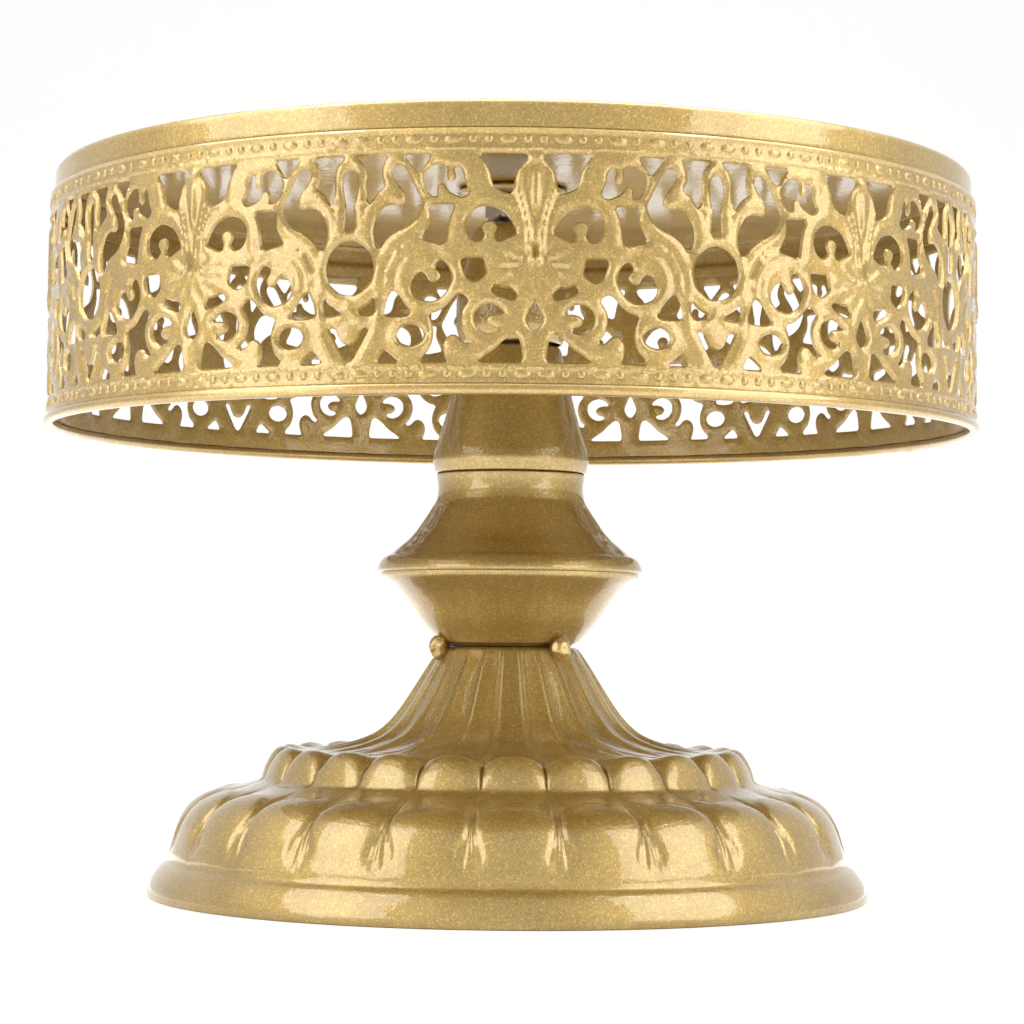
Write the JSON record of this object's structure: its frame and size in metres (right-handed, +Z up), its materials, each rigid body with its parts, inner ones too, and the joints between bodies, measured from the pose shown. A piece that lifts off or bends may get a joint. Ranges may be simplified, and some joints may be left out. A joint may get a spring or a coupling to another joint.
{
  "type": "cake stand",
  "caption": "Round pedestal cake stand: flat top over a pierced lace band, on a turned metal stem and a fluted, scalloped foot.",
  "frame": {"origin": "centre of the foot's underside, on the surface the stand rests on", "axes": "+Z up along the stem; -Y towards the front; the lace pattern's palmette axis is 2.3 degrees towards +X from -Y"},
  "size_m": [0.25, 0.25, 0.1913],
  "materials": {
    "gold_paint": "champagne gold metallic paint under a gloss clear coat",
    "pale_gold_paint": "the same gold paint, thinner and brighter over welds and wire",
    "zinc_plate": "dull zinc-plated steel"
  },
  "bodies": {
    "root": {"plate": "gold_paint", "lace_band": "gold_paint", "wire_ring": "pale_gold_paint", "support_washer": "gold_paint", "top_nut": "zinc_plate", "stem_cup": "gold_paint", "stem_bell": "gold_paint", "stem_skirt": "gold_paint", "stem_bowl": "gold_paint", "foot": "gold_paint", "tie_rod": "zinc_plate", "foot_washer": "zinc_plate", "foot_nut": "zinc_plate", "tack_weld_1": "pale_gold_paint", "tack_weld_2": "pale_gold_paint", "tack_weld_3": "pale_gold_paint"}
  },
  "joints": []
}
